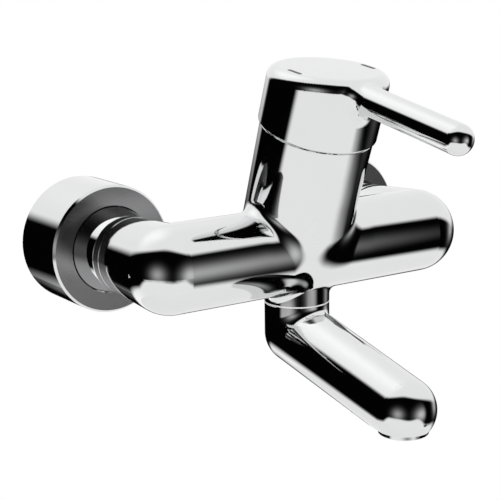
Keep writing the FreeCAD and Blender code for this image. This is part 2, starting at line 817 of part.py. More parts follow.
def hot_limit_ring():
    """Ring on the cartridge with two lugs that stop the rotor's tab at full hot and full cold."""
    inner = rotor_radius + loose_gap
    outer = retaining_bore - loose_gap
    floor = cartridge_top + face_gap
    solid = ring(outer, inner, floor, floor + limit_ring_height - face_gap)
    for sign in (-1, 1):
        middle = 90 + sign * (temperature_limit + rotor_tab + limit_lug + limit_play)
        lug_top = floor + limit_ring_height + limit_lug_height
        solid = solid.fuse(sector(outer, inner, floor, lug_top, middle, limit_lug))
    return leaning(solid.removeSplitter())


def retaining_nut():
    floor = cartridge_top + face_gap
    shoulder = housing_top - retaining_sink
    top = shoulder + retaining_hex_height
    thread = Part.makeCylinder(nut_bore_radius - thread_gap, shoulder - floor, V(0, 0, floor))
    head = hexagon(retaining_hex, shoulder - cut_run, top)
    bore = Part.makeCylinder(retaining_bore, top - floor + 2 * cut_run, V(0, 0, floor - cut_run))
    return leaning(thread.fuse(head).cut(bore).removeSplitter())


def cover_ring():
    """Thin dome over the retaining nut, seen when the lever is lifted."""
    foot = housing_radius_at(housing_top) - housing_edge
    floor = housing_top + face_gap
    bulge_r = (foot + cover_opening) / 2 + cover_bulge
    bulge_z = (floor + cover_top) / 2 + cover_bulge
    inward = cover_shell * math.sqrt(0.5)
    return leaning(turned((foot, floor), (bulge_r, bulge_z, cover_opening, cover_top),
                          (cover_opening, cover_top - cover_shell),
                          (bulge_r - inward, bulge_z - inward, foot - cover_shell, floor)))


# Handle

def slanted_top(depth):
    """Big block above a plane parallel to the handle's top and this far below it."""
    reach = 4 * handle_radius
    tool = Part.makeBox(reach, reach, reach, V(-reach / 2, -reach / 2, -depth))
    tool.rotate(V(), AXIS_X, -top_tilt)
    tool.translate(V(0, 0, handle_top))
    return tool


def lever_way():
    """The way the lever points, in the cartridge's frame."""
    slope = math.radians(lean_angle - lever_angle)
    return V(0, -math.cos(slope), math.sin(slope))


def point_on_lever(distance):
    """Point on the lever's line, this far in front of the cartridge's axis."""
    way = lever_way()
    return V(0, 0, seam_height + lever_rise) - way * (distance / way.y)


def lever_form():
    """Round bar with a round end, from inside the cap."""
    end = point_on_lever(0) + lever_way() * lever_length
    return rod(lever_radius, point_on_lever(lever_root), end).fuse(Part.makeSphere(lever_radius, end))


def handle_shell():
    """Cap with rounded edges, and the lever that grows from its front in one hollow curve."""
    cap = Part.makeCylinder(handle_radius, 2 * handle_height, V(0, 0, seam_height)).cut(slanted_top(0))

    def high(point):
        return point.z > seam_height + handle_height / 2

    def low(point):
        return point.z < seam_height + face_gap

    for rounding, test in ((handle_top_round, high), (handle_foot_round, low)):
        rims = [edge for edge in shared_edges(cap, test) if edge.Length > math.pi * handle_radius]
        cap = cap.makeFillet(rounding, rims)
    solid = cap.fuse(lever_form()).removeSplitter()

    def on_lever(point):
        return abs(near_line(point, point_on_lever(0), lever_way()) - lever_radius) < 0.02

    def at_cap(point):
        return point.distanceToPoint(point_on_lever(handle_radius)) < 2 * lever_radius

    return solid.makeFillet(lever_blend, shared_edges(solid, on_lever, at_cap))


def mark_shapes(depth, length, width):
    marks = []
    for sign in (-1, 1):
        mark = Part.makeBox(width, length, depth + cut_run,
                            V(sign * mark_offset - width / 2, mark_shift - length / 2, -depth))
        mark.rotate(V(), AXIS_X, -top_tilt)
        mark.translate(V(0, 0, handle_top))
        marks.append(mark)
    return marks


def handle_cavity():
    """Hollow of the cap around the boss, the back rib and the lever's root."""
    skirt = Part.makeCylinder(handle_radius - handle_skirt, handle_skirt_height, V(0, 0, seam_height))
    hollow = Part.makeCylinder(handle_radius - handle_wall, 2 * handle_height, V(0, 0, seam_height))
    boss = Part.makeCylinder(boss_radius, 2 * handle_height, V(0, 0, boss_bottom))
    back_rib = Part.makeBox(rib_width, handle_radius, 2 * handle_height, V(-rib_width / 2, 0, rib_bottom))
    return hollow.cut(slanted_top(handle_roof)).fuse(skirt).cut([boss, back_rib, lever_form()])


def back_hole(radius, start, end):
    return rod(radius, V(0, start, set_screw_height), V(0, end, set_screw_height))


def handle():
    side = spindle_square + 2 * fit_gap
    plug_seat = handle_radius - plug_depth
    solid = handle_shell().cut(handle_cavity())
    for tool in [block(side, side, boss_bottom - cut_run, spindle_top + loose_gap),
                 back_hole(set_screw_radius + fit_gap, 0, plug_seat),
                 back_hole(plug_radius + fit_gap, plug_seat, 2 * handle_radius)]:
        solid = solid.cut(tool)
    for mark in mark_shapes(mark_depth, mark_length, mark_width):
        solid = solid.cut(mark)
    return leaning(solid.removeSplitter())


def index_marks():
    limit = slanted_top(face_gap)
    length = mark_length - 2 * face_gap
    width = mark_width - 2 * face_gap
    marks = [mark.cut(limit) for mark in mark_shapes(mark_depth - face_gap, length, width)]
    return leaning(Part.makeCompound(marks))


def handle_set_screw():
    screw = grub_screw(set_screw_radius, set_screw_length, set_screw_tip, set_screw_tip_length)
    return leaning(turned_to(screw, AXIS_X, -90, V(0, spindle_square / 2 + face_gap, set_screw_height)))


def screw_plug():
    plug = back_hole(plug_radius, handle_radius - plug_depth + face_gap, 2 * handle_radius)
    return leaning(plug.common(handle_shell()))


def all_parts():
    parts = {}
    for side in SIDES:
        parts["escutcheon_" + side] = from_wall(cover_pot(), side)
        parts["escutcheon_grip_ring_" + side] = from_wall(grip_ring(), side)
        parts["s_union_" + side] = from_wall(connector(), side)
        parts["union_nut_" + side] = from_wall(union_nut(), side)
        parts["filter_washer_" + side] = from_wall(filter_washer(), side)
        parts["silencer_" + side] = from_wall(silencer(), side)
    for make in (mixer_body, cartridge_base, base_seals, housing_oring, fixed_disc, moving_disc,
                 disc_carrier, cartridge_housing, guide_rotor, pivot_pin, lever_spindle, hot_limit_ring,
                 retaining_nut, cover_ring, handle, index_marks, handle_set_screw, screw_plug, spout,
                 aerator_housing, aerator_insert, aerator_seal, spout_spigot, spigot_orings):
        parts[make.__name__] = make()
    parts["outlet_slip_ring"] = hanging(slip_ring())
    parts["spout_locating_screw"] = locating_screw()
    return parts


os.makedirs("parts", exist_ok=True)
for name, shape in all_parts().items():
    if not shape.isValid():
        print("not valid:", name)
    print(name, "solids", len(shape.Solids), "volume", round(shape.Volume, 1))
    shape.exportStep("parts/" + name + ".step")
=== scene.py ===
# %% [markdown]
# # A wall-mounted basin mixer, dressed for the camera
# The solids of this mixer come ready from the CAD file. This script gives them their finishes, fills in the
# index marks of the hood, and builds the studio that the chrome mirrors. Chrome has almost no colour of its
# own, so most of its look is the room around it.

# %% Load the packed model
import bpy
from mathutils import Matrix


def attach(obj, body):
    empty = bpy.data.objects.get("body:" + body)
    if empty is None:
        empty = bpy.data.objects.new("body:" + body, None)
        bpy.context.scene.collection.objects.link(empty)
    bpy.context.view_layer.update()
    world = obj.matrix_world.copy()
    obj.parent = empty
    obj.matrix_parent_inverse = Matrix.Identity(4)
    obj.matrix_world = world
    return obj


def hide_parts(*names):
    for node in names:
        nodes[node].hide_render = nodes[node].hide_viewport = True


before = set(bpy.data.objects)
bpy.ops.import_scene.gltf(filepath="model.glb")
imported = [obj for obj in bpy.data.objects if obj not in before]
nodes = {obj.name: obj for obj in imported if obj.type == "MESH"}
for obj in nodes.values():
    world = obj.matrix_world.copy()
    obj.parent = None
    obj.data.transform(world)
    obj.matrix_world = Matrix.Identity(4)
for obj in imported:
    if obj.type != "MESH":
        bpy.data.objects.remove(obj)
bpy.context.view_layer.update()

# %% Modules
import math

import bmesh
import bpy
from mathutils import Matrix, Vector


# %% [markdown]
# ## Writing shader maths as plain expressions
# A material is a graph of nodes. Wiring every Math node by hand hides the idea, so a small class wraps a
# socket: adding or multiplying two of them adds the node. Vectors go through Vector Math in the same way.


# %% Wires
class Wire:
    """A socket of a node tree that can be used in an expression."""

    def __init__(self, tree, socket):
        self.tree = tree
        self.socket = socket

    def maths(self, operation, first, second=0.0):
        return self.tree.node("ShaderNodeMath", {"operation": operation}, {0: first, 1: second})

    def __add__(self, other):
        return self.maths("ADD", self, other)

    def __radd__(self, other):
        return self.maths("ADD", other, self)

    def __sub__(self, other):
        return self.maths("SUBTRACT", self, other)

    def __rsub__(self, other):
        return self.maths("SUBTRACT", other, self)

    def __mul__(self, other):
        return self.maths("MULTIPLY", self, other)

    def __rmul__(self, other):
        return self.maths("MULTIPLY", other, self)

    def __truediv__(self, other):
        return self.maths("DIVIDE", self, other)

    def __neg__(self):
        return self.maths("MULTIPLY", self, -1.0)

    def at_least(self, other):
        return self.maths("MAXIMUM", self, other)

    def at_most(self, other):
        return self.maths("MINIMUM", self, other)

    def function(self, operation):
        """A function of one value, such as COSINE or ABSOLUTE."""
        return self.maths(operation, self)

    def vector(self, operation, other=(0.0, 0.0, 0.0), out=0):
        """Vector Math; out=1 gives the number that a length or a dot product is."""
        return self.tree.node("ShaderNodeVectorMath", {"operation": operation}, {0: self, 1: other}, out)

    def dot(self, other):
        return self.vector("DOT_PRODUCT", other, 1)

    def scaled(self, number):
        return self.tree.node("ShaderNodeVectorMath", {"operation": "SCALE"}, {0: self, "Scale": number})


print("wire operations", [name for name in vars(Wire) if not name.startswith("__")])

# %% [markdown]
# ## Adding any other node
# All other nodes come from one method, which takes the node's type, its settings and its sockets. A step with
# soft ends is needed so often that it gets a method of its own.


# %% Trees
class Tree:
    """A node tree under construction."""

    def __init__(self, node_tree):
        self.node_tree = node_tree
        node_tree.nodes.clear()

    def node(self, kind, settings, sockets, out=0):
        """Adds a node: its settings are set first, then the values or links of its sockets."""
        node = self.node_tree.nodes.new(kind)
        for name, value in settings.items():
            setattr(node, name, value)
        for name, value in sockets.items():
            if isinstance(value, Wire):
                self.node_tree.links.new(value.socket, node.inputs[name])
            else:
                node.inputs[name].default_value = value
        return Wire(self, node.outputs[out]) if node.outputs else None

    def step(self, value, low, high):
        """0 before low, 1 past high and an even rise between them, rounded at both ends. Low may be the larger."""
        return self.node("ShaderNodeMapRange", {"interpolation_type": "SMOOTHSTEP"},
                         {"Value": value, "From Min": low, "From Max": high})


print("tree methods", [name for name in vars(Tree) if not name.startswith("__")])

# %% [markdown]
# ## The camera
# The picture looks at the mixer from its left, a little from above, through a long lens. A camera can be
# placed by eye and pointed at a target, but then every straight edge runs a little wrong. Here its place and
# turn were solved from the straight edges and circles of the object, so it is set by its matrix.

# %% Camera
PICTURE = 500.0            # pixels, width and height
SENSOR = 36.0              # mm
FOCAL_PIXELS = 1337.5
MIDDLE_X = 255.01          # the lens's axis in the picture, in pixels
MIDDLE_Y = 258.62
CAMERA_PLACE = Vector((-0.38558, -0.61666, 0.14516))
CAMERA_RIGHT = Vector((0.82414557, -0.56626806, -0.01116076))
CAMERA_UP = Vector((0.136075, 0.1788381, 0.97442318))


def add_camera():
    data = bpy.data.cameras.new("camera")
    data.sensor_width = SENSOR
    data.lens = SENSOR * FOCAL_PIXELS / PICTURE
    data.shift_x = 0.5 - MIDDLE_X / PICTURE
    data.shift_y = MIDDLE_Y / PICTURE - 0.5
    camera = bpy.data.objects.new("camera", data)
    bpy.context.scene.collection.objects.link(camera)
    turn = Matrix((CAMERA_RIGHT, CAMERA_UP, CAMERA_RIGHT.cross(CAMERA_UP))).transposed()
    camera.matrix_world = Matrix.Translation(CAMERA_PLACE) @ turn.to_4x4()
    bpy.context.scene.camera = camera
    print("lens", round(data.lens, 2), "mm, shift", round(data.shift_x, 4), round(data.shift_y, 4))


add_camera()

# %% [markdown]
# ## The studio
# Chrome mirrors its surroundings, so the studio is drawn around the object in the world's colour: a white
# ceiling that comes down behind the mixer, a white floor, and between them the dark front of the room with
# three soft lamps in it. The round ends of the bar and of the spout show where each border lies. Pictures of a
# room could be used instead, but a few formulas give a cleaner mirror image and are easier to move.

# %% Directions
DEGREES = 180 / math.pi


def directions(tree):
    """Where a ray goes, in degrees: around from straight out of the wall, positive to the right, and up."""
    way = tree.node("ShaderNodeTexCoord", {}, {}, "Generated")
    x, y, z = [tree.node("ShaderNodeSeparateXYZ", {}, {"Vector": way}, axis) for axis in "XYZ"]
    around = x.maths("ARCTAN2", x, -y) * DEGREES
    up = z.at_least(-1.0).at_most(1.0).function("ARCSINE") * DEGREES
    return around, up


def hill(squared):
    """1 in the middle with a soft fall around it, from the square of the distance to the middle."""
    return (-0.5 * squared).function("EXPONENT")


print("one radian is", round(DEGREES, 2), "degrees")

# %% [markdown]
# ## The ceiling and the floor
# The border of the ceiling is highest on the camera's side and sinks to the level of the eye behind the mixer, so
# it follows a cosine. The border of the floor is level, with lower and higher stretches. Both could be real
# white cards around the mixer, but cards would also shade each other. As formulas they only need a soft edge.

# %% Ceiling and floor
CEILING_PEAK = 62.5        # degrees up, where the ceiling starts on the camera's side
CEILING_MIDDLE = -43.0
CEILING_SPREAD = 0.675
CEILING_LOWEST = -4.0
CEILING_SOFT = 6.0
FLOOR_EDGE = -15.5
FLOOR_SOFT = 5.0
FLOOR_STEPS = ((-88.0, -122.0, -14.5), (2.0, 50.0, -21.0), (60.0, 95.0, 5.0))     # from, to, rise
FLOOR_DIP_MIDDLE = -22.0
FLOOR_DIP_WIDTH = 18.0
FLOOR_DIP_DEPTH = 6.0


def ceiling_share(tree, around, up):
    edge = ((around - CEILING_MIDDLE) * (CEILING_SPREAD / DEGREES)).function("COSINE") * CEILING_PEAK
    return tree.step(up - edge.at_least(CEILING_LOWEST), -CEILING_SOFT, CEILING_SOFT)


def floor_share(tree, around, up):
    edge = FLOOR_EDGE
    for start, end, rise in FLOOR_STEPS:
        edge = tree.step(around, start, end) * rise + edge
    aside = (around - FLOOR_DIP_MIDDLE) / FLOOR_DIP_WIDTH
    edge = edge - hill(aside * aside) * FLOOR_DIP_DEPTH
    return tree.step(edge - up, -FLOOR_SOFT, FLOOR_SOFT)


print("ceiling from", CEILING_LOWEST, "to", CEILING_PEAK, "degrees up, floor below", FLOOR_EDGE)

# %% [markdown]
# ## Lamps in the mirror image
# In the dark front of the room three lamps show as soft spots in every round form. A lamp with a hard edge would
# need the exact shape of the real one, while a soft hill over two angles looks right in all of them. A screen
# stands right of the middle lamp. High and low behind the mixer the white is a little brighter.

# %% Soft lamps and glow
SOFT_LAMPS = (             # around, up, half width, half height, level
    (-60.5, -0.5, 12.0, 11.4, 0.41),
    (20.5, -5.5, 13.9, 11.9, 0.63),
    (88.0, -6.0, 8.0, 8.0, 0.5),
)
SCREEN_END = 45.5          # lamps left of the screen are hidden past its end and whole before its start
SCREEN_START = 30.0
DARK_LEVEL = 0.001
GLOW_MIDDLE = -170.0
GLOW_LEVEL = 0.24
GLOW_LOW = (20.0, 48.0)    # the glow comes up between these slants and fades between those
GLOW_HIGH = (90.0, 60.0)


def lamp_light(tree, around, up):
    light = DARK_LEVEL
    for middle, height, wide, tall, level in SOFT_LAMPS:
        across = (around - middle) / wide
        along = (up - height) / tall
        spot = hill(across * across + along * along) * level
        if middle < SCREEN_START:
            spot = spot * tree.step(around, SCREEN_END, SCREEN_START)
        light = spot + light
    return light


def glow_behind(tree, around, up):
    behind = ((around - GLOW_MIDDLE) * (1 / DEGREES)).function("COSINE").at_least(0.0)
    slant = up.function("ABSOLUTE")
    return behind * behind * behind * behind * tree.step(slant, *GLOW_LOW) * tree.step(slant, *GLOW_HIGH)


print("soft lamps", len(SOFT_LAMPS))

# %% [markdown]
# ## The world
# The shares are put together here. To the camera the world is plain white, which gives the picture its clean
# ground; only the mirrors and the light see the studio.


# %% World
def add_world():
    world = bpy.data.worlds.new("studio")
    bpy.context.scene.world = world
    world.use_nodes = True
    tree = Tree(world.node_tree)
    around, up = directions(tree)
    white = ceiling_share(tree, around, up).at_least(floor_share(tree, around, up))
    level = (white * (glow_behind(tree, around, up) * GLOW_LEVEL + 1.0)
             + lamp_light(tree, around, up) * (1 - white))
    seen = tree.node("ShaderNodeLightPath", {}, {}, "Is Camera Ray")
    level = level * (1 - seen) + seen
    shade = tree.node("ShaderNodeCombineColor", {}, {"Red": level, "Green": level, "Blue": level})
    background = tree.node("ShaderNodeBackground", {}, {"Color": shade})
    tree.node("ShaderNodeOutputWorld", {}, {"Surface": background})
    print("world nodes", len(world.node_tree.nodes))


add_world()

# %% [markdown]
# ## The floor
# The mixer hangs on a wall, so the pale floor lies well below it and takes its shadow. A matt white floor alone
# would turn grey in the picture, and more light would bleach the plastic pieces. So to the camera and to
# mirrors the floor glows a little, and the rest of its light is plain reflection.

# %% Floor
FLOOR_MIDDLE = (0.0, -0.09, -0.30)
FLOOR_RADIUS = 0.34
FLOOR_SIDES = 96
FLOOR_WHITE = (0.86, 0.86, 0.86, 1)
GLOW_WHITE = (1, 1, 1, 1)
FLOOR_GLOW = 0.75


def new_finish(name):
    material = bpy.data.materials.new(name)
    material.use_nodes = True
    return material, Tree(material.node_tree)


def floor_finish():
    material, tree = new_finish("floor_white")
    camera_ray = tree.node("ShaderNodeLightPath", {}, {}, "Is Camera Ray")
    glossy_ray = tree.node("ShaderNodeLightPath", {}, {}, "Is Glossy Ray")
    clear_ray = tree.node("ShaderNodeLightPath", {}, {}, "Is Transmission Ray")
    seen = (camera_ray + glossy_ray + clear_ray).at_most(1.0) * FLOOR_GLOW
    matt = tree.node("ShaderNodeBsdfDiffuse", {}, {"Color": FLOOR_WHITE})
    glow = tree.node("ShaderNodeEmission", {}, {"Color": GLOW_WHITE, "Strength": 1.0})
    mix = tree.node("ShaderNodeMixShader", {}, {0: seen, 1: matt, 2: glow})
    tree.node("ShaderNodeOutputMaterial", {}, {"Surface": mix})
    return material


def new_object(form, name, material):
    """An object at the origin, with the bmesh as its mesh."""
    mesh = bpy.data.meshes.new(name)
    form.to_mesh(mesh)
    form.free()
    mesh.materials.append(material)
    thing = bpy.data.objects.new(name, mesh)
    bpy.context.scene.collection.objects.link(thing)
    return thing


def add_floor():
    form = bmesh.new()
    bmesh.ops.create_circle(form, cap_ends=True, segments=FLOOR_SIDES, radius=FLOOR_RADIUS,
                            matrix=Matrix.Translation(FLOOR_MIDDLE))
    floor = new_object(form, "floor", floor_finish())
    print("floor", [round(value, 3) for value in floor.dimensions])


add_floor()

# %% [markdown]
# ## The lamps
# Two wide lamps even out the light on the plastic and rubber pieces. They are left out of mirror reflections,
# where a lamp would show as a bright disc on the chrome.

# %% Lamps
LAMPS = (                  # name, place, power in watts
    ("lamp_front", (-0.9, -1.5, 0.5), 22.0),
    ("lamp_right", (1.5, -1.0, 0.6), 12.0),
)
LAMP_WIDTH = 1.2


def add_lamp(name, place, power):
    data = bpy.data.lights.new(name, "AREA")
    data.shape = "DISK"
    data.size = LAMP_WIDTH
    data.energy = power
    lamp = bpy.data.objects.new(name, data)
    bpy.context.scene.collection.objects.link(lamp)
    lamp.location = place
    lamp.rotation_euler = (-Vector(place)).to_track_quat("-Z", "Y").to_euler()
    lamp.visible_glossy = False
    print(name, power, "watts")


for lamp in LAMPS:
    add_lamp(*lamp)

# %% [markdown]
# ## Noise and two tones
# No real surface is one flat colour. Photographed textures would show that too, but they repeat and need
# unwrapping. Each finish here mixes two near tones by a noise that is fixed to the piece, and such a noise also
# moves its roughness and its finest relief.


# %% Helpers for finishes
def noise(tree, scale, detail, stretch=(1.0, 1.0, 1.0)):
    """Noise fixed to the piece, between 0 and 1."""
    place = tree.node("ShaderNodeTexCoord", {}, {}, "Object")
    place = tree.node("ShaderNodeMapping", {}, {"Vector": place, "Scale": stretch})
    return tree.node("ShaderNodeTexNoise", {}, {"Vector": place, "Scale": scale, "Detail": detail})


def two_tone(tree, first, second, share):
    return tree.node("ShaderNodeMix", {"data_type": "RGBA"}, {"Factor": share, 6: first, 7: second}, 2)


def rough(share, least, more):
    """A roughness that starts at least, and has more added where the share is 1."""
    return share * more + least


def surface(tree, sockets, relief, depth=0.0001, strength=0.2, facing=None, unmirrored=None):
    """The shader and the output. Relief goes in through a Bump node on the way the surface faces, and rays
    that come from another mirror pass where unmirrored is 1."""
    bump = {"Strength": strength, "Distance": depth, "Height": relief}
    if facing is not None:
        bump["Normal"] = facing
    shader = tree.node("ShaderNodeBsdfPrincipled", {}, {**sockets, "Normal": tree.node("ShaderNodeBump", {}, bump)})
    if unmirrored is not None:
        mirrored = tree.node("ShaderNodeLightPath", {}, {}, "Is Glossy Ray")
        clear = tree.node("ShaderNodeBsdfTransparent", {}, {})
        shader = tree.node("ShaderNodeMixShader", {}, {0: mirrored * unmirrored, 1: shader, 2: clear})
    tree.node("ShaderNodeOutputMaterial", {}, {"Surface": shader})


print("helpers", [helper.__name__ for helper in (noise, two_tone, rough, surface)])

# %% [markdown]
# ## Chrome
# Plated brass is a near perfect mirror: a neutral grey metal that gives back three quarters of the light. A
# shader with one roughness would give a mirror too, but a lifeless one. Polishing leaves the faintest waviness
# and haze, so a slow noise moves the roughness and a fine one tilts the surface by less than the eye can name.
# The flat fronts of the covers are brushed, which makes them rougher, and their colour is darkened to a mid grey,
# which is painted shade.

# %% Chrome
CHROME_DARK = (0.735, 0.738, 0.742, 1)
CHROME_LIGHT = (0.765, 0.767, 0.770, 1)
# a mid grey for the brushed cover fronts: painted shade, far darker than the chrome itself
CHROME_SATIN_SHADE = (0.36, 0.36, 0.365, 1)
POLISH_ROUGHNESS = 0.02
HAZE_ROUGHNESS = 0.05
SATIN_ROUGHNESS = 0.22
HAZE_SCALE = 35.0
RIPPLE_SCALE = 120.0
RIPPLE_DEPTH = 0.00001
RIPPLE_STRENGTH = 0.1


def chrome(name, facing=None, brushed_and_shaded=None, unmirrored=None):
    """Chrome; facing turns the surface where castings flow together, the third argument marks where it is brushed and
    darkened with painted shade, and unmirrored marks what other mirrors leave out."""
    material, tree = new_finish(name)
    haze = noise(tree, HAZE_SCALE, detail=3.0)
    ripple = noise(tree, RIPPLE_SCALE, detail=1.0)
    colour = two_tone(tree, CHROME_DARK, CHROME_LIGHT, haze)
    roughness = rough(haze, POLISH_ROUGHNESS, HAZE_ROUGHNESS)
    if brushed_and_shaded is not None:
        brushed_shade_share = brushed_and_shaded(tree)
        # brushing adds roughness; the darker colour on the cover fronts is painted shade
        colour = two_tone(tree, colour, CHROME_SATIN_SHADE, brushed_shade_share)
        roughness = roughness + brushed_shade_share * SATIN_ROUGHNESS
    surface(tree, {"Base Color": colour, "Metallic": 1.0, "Roughness": roughness}, ripple, RIPPLE_DEPTH,
            RIPPLE_STRENGTH, facing(tree) if facing else None, unmirrored(tree) if unmirrored else None)
    return material


finishes = {"chrome": chrome("polished_chrome")}
print("chrome nodes", len(finishes["chrome"].node_tree.nodes))

# %% Brushed cover fronts, darkened with painted shade
OUT_OF_THE_WALL = (0.0, -1.0, 0.0)
FRONT_FACING = (0.90, 0.97)


def outward(tree):
    """The way the surface faces, in the piece's own directions."""
    return tree.node("ShaderNodeTexCoord", {}, {}, "Normal")


def cover_front(tree):
    """1 on the flat front of a cover."""
    return tree.step(outward(tree).dot(OUT_OF_THE_WALL), *FRONT_FACING)


finishes["cover_chrome"] = chrome("cover_chrome", brushed_and_shaded=cover_front)
print("cover nodes", len(finishes["cover_chrome"].node_tree.nodes))

# %% [markdown]
# ## Where round forms flow together
# The polisher's wheel leaves no corner where the leaning housing runs into the front of the bar, nor where the
# spout's tube leaves its upright part. The solids have these joins a few tenths of a millimetre sharper, too
# little to see in their outline, but a mirror shows it. So the chrome there turns its normal from one round bar
# to the other over a few millimetres: each bar is a line and a radius, and the nearer one has the larger share.

# %% Round bars
# Each bar has an origin, a way, a radius there, and how much the radius grows along the way.
BAR = ((0.0, -0.091, 0.0), (1.0, 0.0, 0.0), 0.0216, 0.0)
HOUSING = ((0.0, -0.0847, 0.0), (0.0, -0.332161, 0.943223), 0.02755, 0.0122)
UPRIGHT = ((0.0, -0.0894, 0.0), (0.0, 0.0, 1.0), 0.01635, 0.0)
TUBE = ((0.0, -0.0894, -0.0431), (0.0, -0.97649, -0.21556), 0.01635, -0.0112)


def place_on(tree):
    """The place on the piece. At rest it is the place in the room too, because every piece lies at the origin."""
    return tree.node("ShaderNodeTexCoord", {}, {}, "Object")


def part_of(place, axis):
    return place.tree.node("ShaderNodeSeparateXYZ", {}, {"Vector": place}, axis)


def round_bar(place, bar):
    """The way out of a round bar at a place, the distance to its surface, and how far along it the place is."""
    origin, way, radius, widening = bar
    across = place.vector("SUBTRACT", origin)
    along = across.dot(way)
    lengthwise = place.tree.node("ShaderNodeVectorMath", {"operation": "SCALE"}, {0: way, "Scale": along})
    across = across.vector("SUBTRACT", lengthwise)
    gap = across.vector("LENGTH", out=1) - (along * widening + radius)
    return across.vector("NORMALIZE"), gap, along


print("radii in mm", [round(bar[2] * 1000, 2) for bar in (BAR, HOUSING, UPRIGHT, TUBE)])


# %% Soft joins
def flowing(tree, place, first, second, width, share_here):
    """The normal over a join, back in the world's directions, mixed in where share_here is 1."""
    first_way, first_gap, _ = round_bar(place, first)
    second_way, second_gap, _ = round_bar(place, second)
    share = ((second_gap - first_gap) * (0.5 / width) + 0.5).at_least(0.0).at_most(1.0)
    soft = first_way.scaled(share).vector("ADD", second_way.scaled(1 - share))
    turned = tree.node("ShaderNodeVectorTransform",
                       {"vector_type": "NORMAL", "convert_from": "OBJECT", "convert_to": "WORLD"},
                       {"Vector": soft.vector("NORMALIZE")})
    own = tree.node("ShaderNodeNewGeometry", {}, {}, "Normal")
    mixed = tree.node("ShaderNodeMix", {"data_type": "VECTOR"}, {0: share_here, 4: own, 5: turned}, 1)
    return mixed.vector("NORMALIZE")


HOUSING_JOIN = 0.005       # width of the join; the pairs are where it starts and where it is whole
HOUSING_JOIN_LOWEST = (-0.0185, -0.0165)
HOUSING_JOIN_FRONT = (-0.098, -0.104)
HOUSING_JOIN_HIGHEST = (0.045, 0.030)       # along the housing
HOUSING_JOIN_SIDES = (0.034, 0.028)


def body_facing(tree):
    place = place_on(tree)
    _, _, along = round_bar(place, HOUSING)
    here = (tree.step(part_of(place, "Z"), *HOUSING_JOIN_LOWEST) * tree.step(part_of(place, "Y"), *HOUSING_JOIN_FRONT)
            * tree.step(along, *HOUSING_JOIN_HIGHEST)
            * tree.step(part_of(place, "X").function("ABSOLUTE"), *HOUSING_JOIN_SIDES))
    return flowing(tree, place, HOUSING, BAR, HOUSING_JOIN, here)


SPOUT_JOIN = 0.003
SPOUT_JOIN_LOWEST = (-0.0431, -0.0411)
SPOUT_JOIN_START = (0.0, 0.002)             # along the tube


def spout_facing(tree):
    place = place_on(tree)
    _, _, along = round_bar(place, TUBE)
    here = tree.step(part_of(place, "Z"), *SPOUT_JOIN_LOWEST) * tree.step(along, *SPOUT_JOIN_START)
    return flowing(tree, place, UPRIGHT, TUBE, SPOUT_JOIN, here)


print("joins in mm", HOUSING_JOIN * 1000, SPOUT_JOIN * 1000)

# %% [markdown]
# ## What a mirror leaves out
# A product picture keeps its mirrors calm: a casting shows the studio and its own near parts, and little of what
# is further away. Here a ray that comes from a mirror passes a surface where a mask is 1. The masks use the
# place on the piece and the length of the ray, so they hold from every side. Seen directly, nothing is clear.

# %% What mirrors leave out of the body
# Each pair is where a mask starts and where it is whole.
FORWARD_AND_DOWN = (0.0, -0.87, -0.5)
BODY_FACING = (0.25, 0.35)                  # how much the surface faces forward and down
ABOVE_NECK = (-0.0215, -0.0205)
LOW_ON_HOUSING = (0.030, 0.026)
HOUSING_MIRROR = (0.050, 0.060)             # how far away the mirror is
INSIDE = (-0.0012, -0.0018)                 # how far under a round bar's surface


def mirror_beyond(tree, distances):
    """1 where the mirror that shows the piece is further away."""
    return tree.step(tree.node("ShaderNodeLightPath", {}, {}, "Ray Length"), *distances)


def body_unmirrored(tree):
    """1 on the casting's front and underside, above the neck, and on everything inside it."""
    place = place_on(tree)
    height = part_of(place, "Z")
    hidden = tree.step(outward(tree).dot(FORWARD_AND_DOWN), *BODY_FACING) * tree.step(height, *ABOVE_NECK)
    hidden = hidden * tree.step(height, *LOW_ON_HOUSING).at_least(mirror_beyond(tree, HOUSING_MIRROR))
    hidden = hidden.at_least(tree.node("ShaderNodeNewGeometry", {}, {}, "Backfacing"))
    for bar in (BAR, HOUSING, UPRIGHT):
        _, gap, _ = round_bar(place, bar)
        hidden = hidden.at_least(tree.step(gap, *INSIDE))
    return hidden


finishes["body_chrome"] = chrome("body_chrome", facing=body_facing, unmirrored=body_unmirrored)
print("body nodes", len(finishes["body_chrome"].node_tree.nodes))

# %% What mirrors leave out of the spout and the handle
SPOUT_MIRROR = (0.069, 0.074)
HANDLE_MIRROR = (0.105, 0.115)
LEVER_MIRROR = (0.050, 0.060)
PAST_LEVER_ROOT = (-0.122, -0.128)


def spout_unmirrored(tree):
    return mirror_beyond(tree, SPOUT_MIRROR)


def handle_unmirrored(tree):
    """1 for mirrors far below, and on the lever, past its root, for all but the nearest ones."""
    lever = tree.step(part_of(place_on(tree), "Y"), *PAST_LEVER_ROOT) * mirror_beyond(tree, LEVER_MIRROR)
    return lever.at_least(mirror_beyond(tree, HANDLE_MIRROR))


finishes["spout_chrome"] = chrome("spout_chrome", facing=spout_facing, unmirrored=spout_unmirrored)
finishes["handle_chrome"] = chrome("handle_chrome", unmirrored=handle_unmirrored)
print("chrome finishes", sorted(finishes))

# %% [markdown]
# ## Metals and ceramic inside and behind
# From behind and below, the connectors, seals and jet former show. One grey metal would do for all that is
# half hidden, but each piece tells what it is by its colour. So each gets what its maker would give it: turned
# brass with fine rings, stainless steel with a grain, and fired ceramic.

# %% Metals and ceramic
BRASS_TONES = ((0.60, 0.43, 0.19, 1), (0.74, 0.57, 0.30, 1))
STEEL_TONES = ((0.46, 0.46, 0.46, 1), (0.58, 0.58, 0.57, 1))
CERAMIC_TONES = ((0.86, 0.85, 0.81, 1), (0.91, 0.90, 0.86, 1))
TURNING_RINGS = (1.0, 30.0, 1.0)            # the noise is pressed into rings along the way out of the wall


